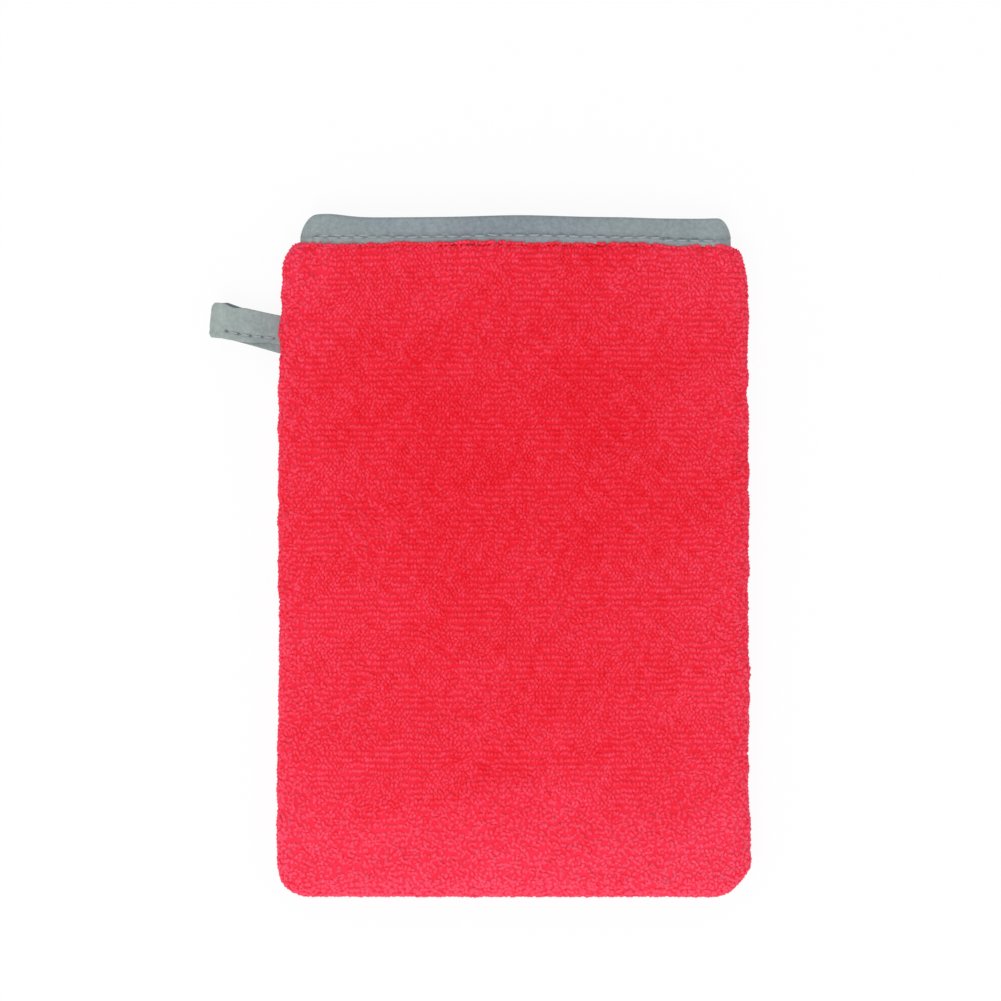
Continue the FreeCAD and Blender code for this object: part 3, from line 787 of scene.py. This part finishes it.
def strip_stitches():
    """The strip's edge stitches, on the outer side of both plies."""
    line = strip_line()
    row = np.array([[-STRIP_HALF + EDGE_MARGIN]])
    places = strip_points(line, row)[:, 0]
    beside = strip_points(line, row + 0.5)[:, 0]
    at = FIRST_STITCH_X - EDGE_PITCH * np.arange(EDGE_COUNT)
    wanted = ((-EDGE_STITCH / 2, places), (EDGE_STITCH / 2, places), (0, places), (0, beside))
    feet, axes = [], []
    for ply, side in ((slice(PLY_POINTS - 1, None, -1), 1), (slice(-PLY_POINTS, None), -1)):
        known = places[ply]
        low, high, middle, near = (
            np.stack([np.interp(at + shift, known[:, 0], source[ply][:, axis]) for axis in range(3)], -1)
            for shift, source in wanted)
        span = unit(high - low)
        up = side * unit(np.cross(span, near - middle))
        feet.append(middle + up * (STRIP / 2 - STITCH_SINK))
        axes.append(np.stack([span, np.cross(up, span), up], 2))
    shape = bent_yarn(yarn_radius=0.28, span=EDGE_STITCH - 0.5, rise=0.42, turn=1.2, segments=8, sides=6)
    piece, = repeated("hanging_strip_stitches", shape, np.concatenate(feet), np.concatenate(axes),
                      binding_thread, body=None)
    return piece


strip, edge_stitches = hanging_strip(), strip_stitches()
for piece, slot_name in ((strip, "tape"), (edge_stitches, "binding_thread")):
    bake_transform(piece)
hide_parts("hanging_loop", "loop_tails")
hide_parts("loop_edge_stitches")


# --- Closing seam's threads ---------------------------------------------------------------------------------
# Inside the pocket, the two allowances are held by a lockstitch along the seam and edged with an overlock
# stitch, whose thread wraps over both raw edges. The lockstitch is almost hidden in the fold.

overlock_low, overlock_high = millimetres("overlock_edging")
WRAP_STEP = 1.2  # between the overlock's wraps
WRAP_WIDTH = 2.0  # how far each reaches in from the raw edge

seam_thread = thread_finish("seam_thread", (0.55, 0.012, 0.028, 1), (0.78, 0.030, 0.055, 1))


def overlock_wraps():
    """The overlock's wraps along a path down one side, round the finger end and up the other side."""
    side_x = overlock_high[0] - WRAP_WIDTH / 2
    end_y = overlock_low[1] + WRAP_WIDTH / 2
    top_y = overlock_high[1] - 1.0
    radius = 4.0
    corner = np.linspace(0, math.pi / 2, 7)
    path = [(-side_x, top_y)]
    path += [(-side_x + radius * (1 - math.cos(a)), end_y + radius * (1 - math.sin(a))) for a in corner]
    path += [(side_x - radius * (1 - math.sin(a)), end_y + radius * (1 - math.cos(a))) for a in corner]
    path = np.array(path + [(side_x, top_y)])
    gone = np.concatenate([[0], np.cumsum(np.hypot(*np.diff(path, axis=0).T))])
    at = np.arange(1.0, gone[-1] - 1.0, WRAP_STEP)[:, None]
    place, before, after = (
        np.concatenate([np.interp(at + move, gone, path[:, axis]) for axis in (0, 1)], 1)
        for move in (0, -0.4, 0.4))
    ahead = np.pad(unit(after - before), ((0, 0), (0, 1)))
    inward = np.stack([-ahead[:, 1], ahead[:, 0], ahead[:, 2]], -1)
    slant = np.where(np.arange(len(at)) % 2, 0.45, -0.45)[:, None]
    rise = unit(np.array([0, 0, 1]) + slant * ahead)
    axes = np.stack([rise, np.cross(inward, rise), inward], 2)
    feet = np.pad(place, ((0, 0), (0, 1)), constant_values=SEAM_Z) - inward * WRAP_WIDTH / 2
    shape = bent_yarn(yarn_radius=0.2, span=overlock_high[2] - overlock_low[2] - 0.4, rise=WRAP_WIDTH,
                      turn=math.pi, segments=6, sides=4)
    piece, = repeated("overlock_wraps", shape, feet, axes, seam_thread)
    return piece


wraps = overlock_wraps()
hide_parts("overlock_edging")
for seam_row in ("seam_needle_thread", "seam_bobbin_thread"):
    for material_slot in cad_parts[seam_row].material_slots:
        material_slot.material = seam_thread


# --- Table, light and camera --------------------------------------------------------------------------------
# The mitt lies palm up on a white table under broad soft light, and the camera looks straight down at it.
# The table and the room are plain white to the camera, and light the mitt a little less than that.


def seen_directly(tree):
    """1 where the camera sees a thing, also in a glossy or clear surface, 0 where it only gives light."""
    rays = node(tree, "ShaderNodeLightPath").outputs
    seen = rays["Is Camera Ray"]
    for kind in ("Is Glossy Ray", "Is Transmission Ray"):
        seen = node(tree, "ShaderNodeMath", (0, seen), (1, rays[kind]), operation="MAXIMUM").outputs[0]
    return seen


def table_finish():
    """A matt white table, which keeps only a faint shadow where the camera sees it."""
    material = bpy.data.materials.new("table")
    material.use_nodes = True
    tree = material.node_tree
    shader = tree.nodes["Principled BSDF"]
    shader.inputs["Base Color"].default_value = (0.9, 0.9, 0.9, 1)
    shader.inputs["Roughness"].default_value = 1.0
    shader.inputs["Specular IOR Level"].default_value = 0.0
    seen = seen_directly(tree)
    share = node(tree, "ShaderNodeMath", (0, seen), (1, 0.92), operation="MULTIPLY").outputs[0]
    glow = node(tree, "ShaderNodeEmission", ("Color", (1, 1, 1, 1)), ("Strength", 1.0)).outputs[0]
    mixed = node(tree, "ShaderNodeMixShader", (0, share), (1, shader.outputs[0]), (2, glow)).outputs[0]
    tree.links.new(mixed, tree.nodes["Material Output"].inputs["Surface"])
    return material


table_sheet = bmesh.new()
bmesh.ops.create_grid(table_sheet, x_segments=1, y_segments=1, size=3.0)
table_mesh = bpy.data.meshes.new("table")
table_sheet.to_mesh(table_mesh)
table_sheet.free()
new_piece("table", table_mesh, table_finish(), None)

room = bpy.data.worlds.new("studio")
room.use_nodes = True
backdrop = room.node_tree.nodes["Background"]
backdrop.inputs["Color"].default_value = (1, 1, 1, 1)
ROOM_LIGHT = 0.82  # how bright the room is for the mitt, where a plain white backdrop is 1
seen = seen_directly(room.node_tree)
strength = node(room.node_tree, "ShaderNodeMapRange", ("Value", seen), (3, ROOM_LIGHT), (4, 1.0))
room.node_tree.links.new(strength.outputs[0], backdrop.inputs["Strength"])
bpy.context.scene.world = room

softbox = bpy.data.objects.new("softbox", bpy.data.lights.new("softbox", "AREA"))
softbox.data.size, softbox.data.energy = 0.8, 6.5
softbox.location = (-0.25, -0.6, 1.1)
softbox.rotation_euler = (-softbox.location).to_track_quat("-Z", "Y").to_euler()
bpy.context.scene.collection.objects.link(softbox)

camera = bpy.data.objects.new("camera", bpy.data.cameras.new("camera"))
camera.data.lens, camera.data.sensor_width = 100.0, 36.0
view_width, view_height = 0.3148, 0.007  # how wide the view is in metres, at this height over the table
distance = view_width * camera.data.lens / camera.data.sensor_width
camera.location = (-0.00409, 0.01683, view_height + distance)
bpy.context.scene.collection.objects.link(camera)
bpy.context.scene.camera = camera
bpy.context.scene.view_settings.view_transform = "Standard"
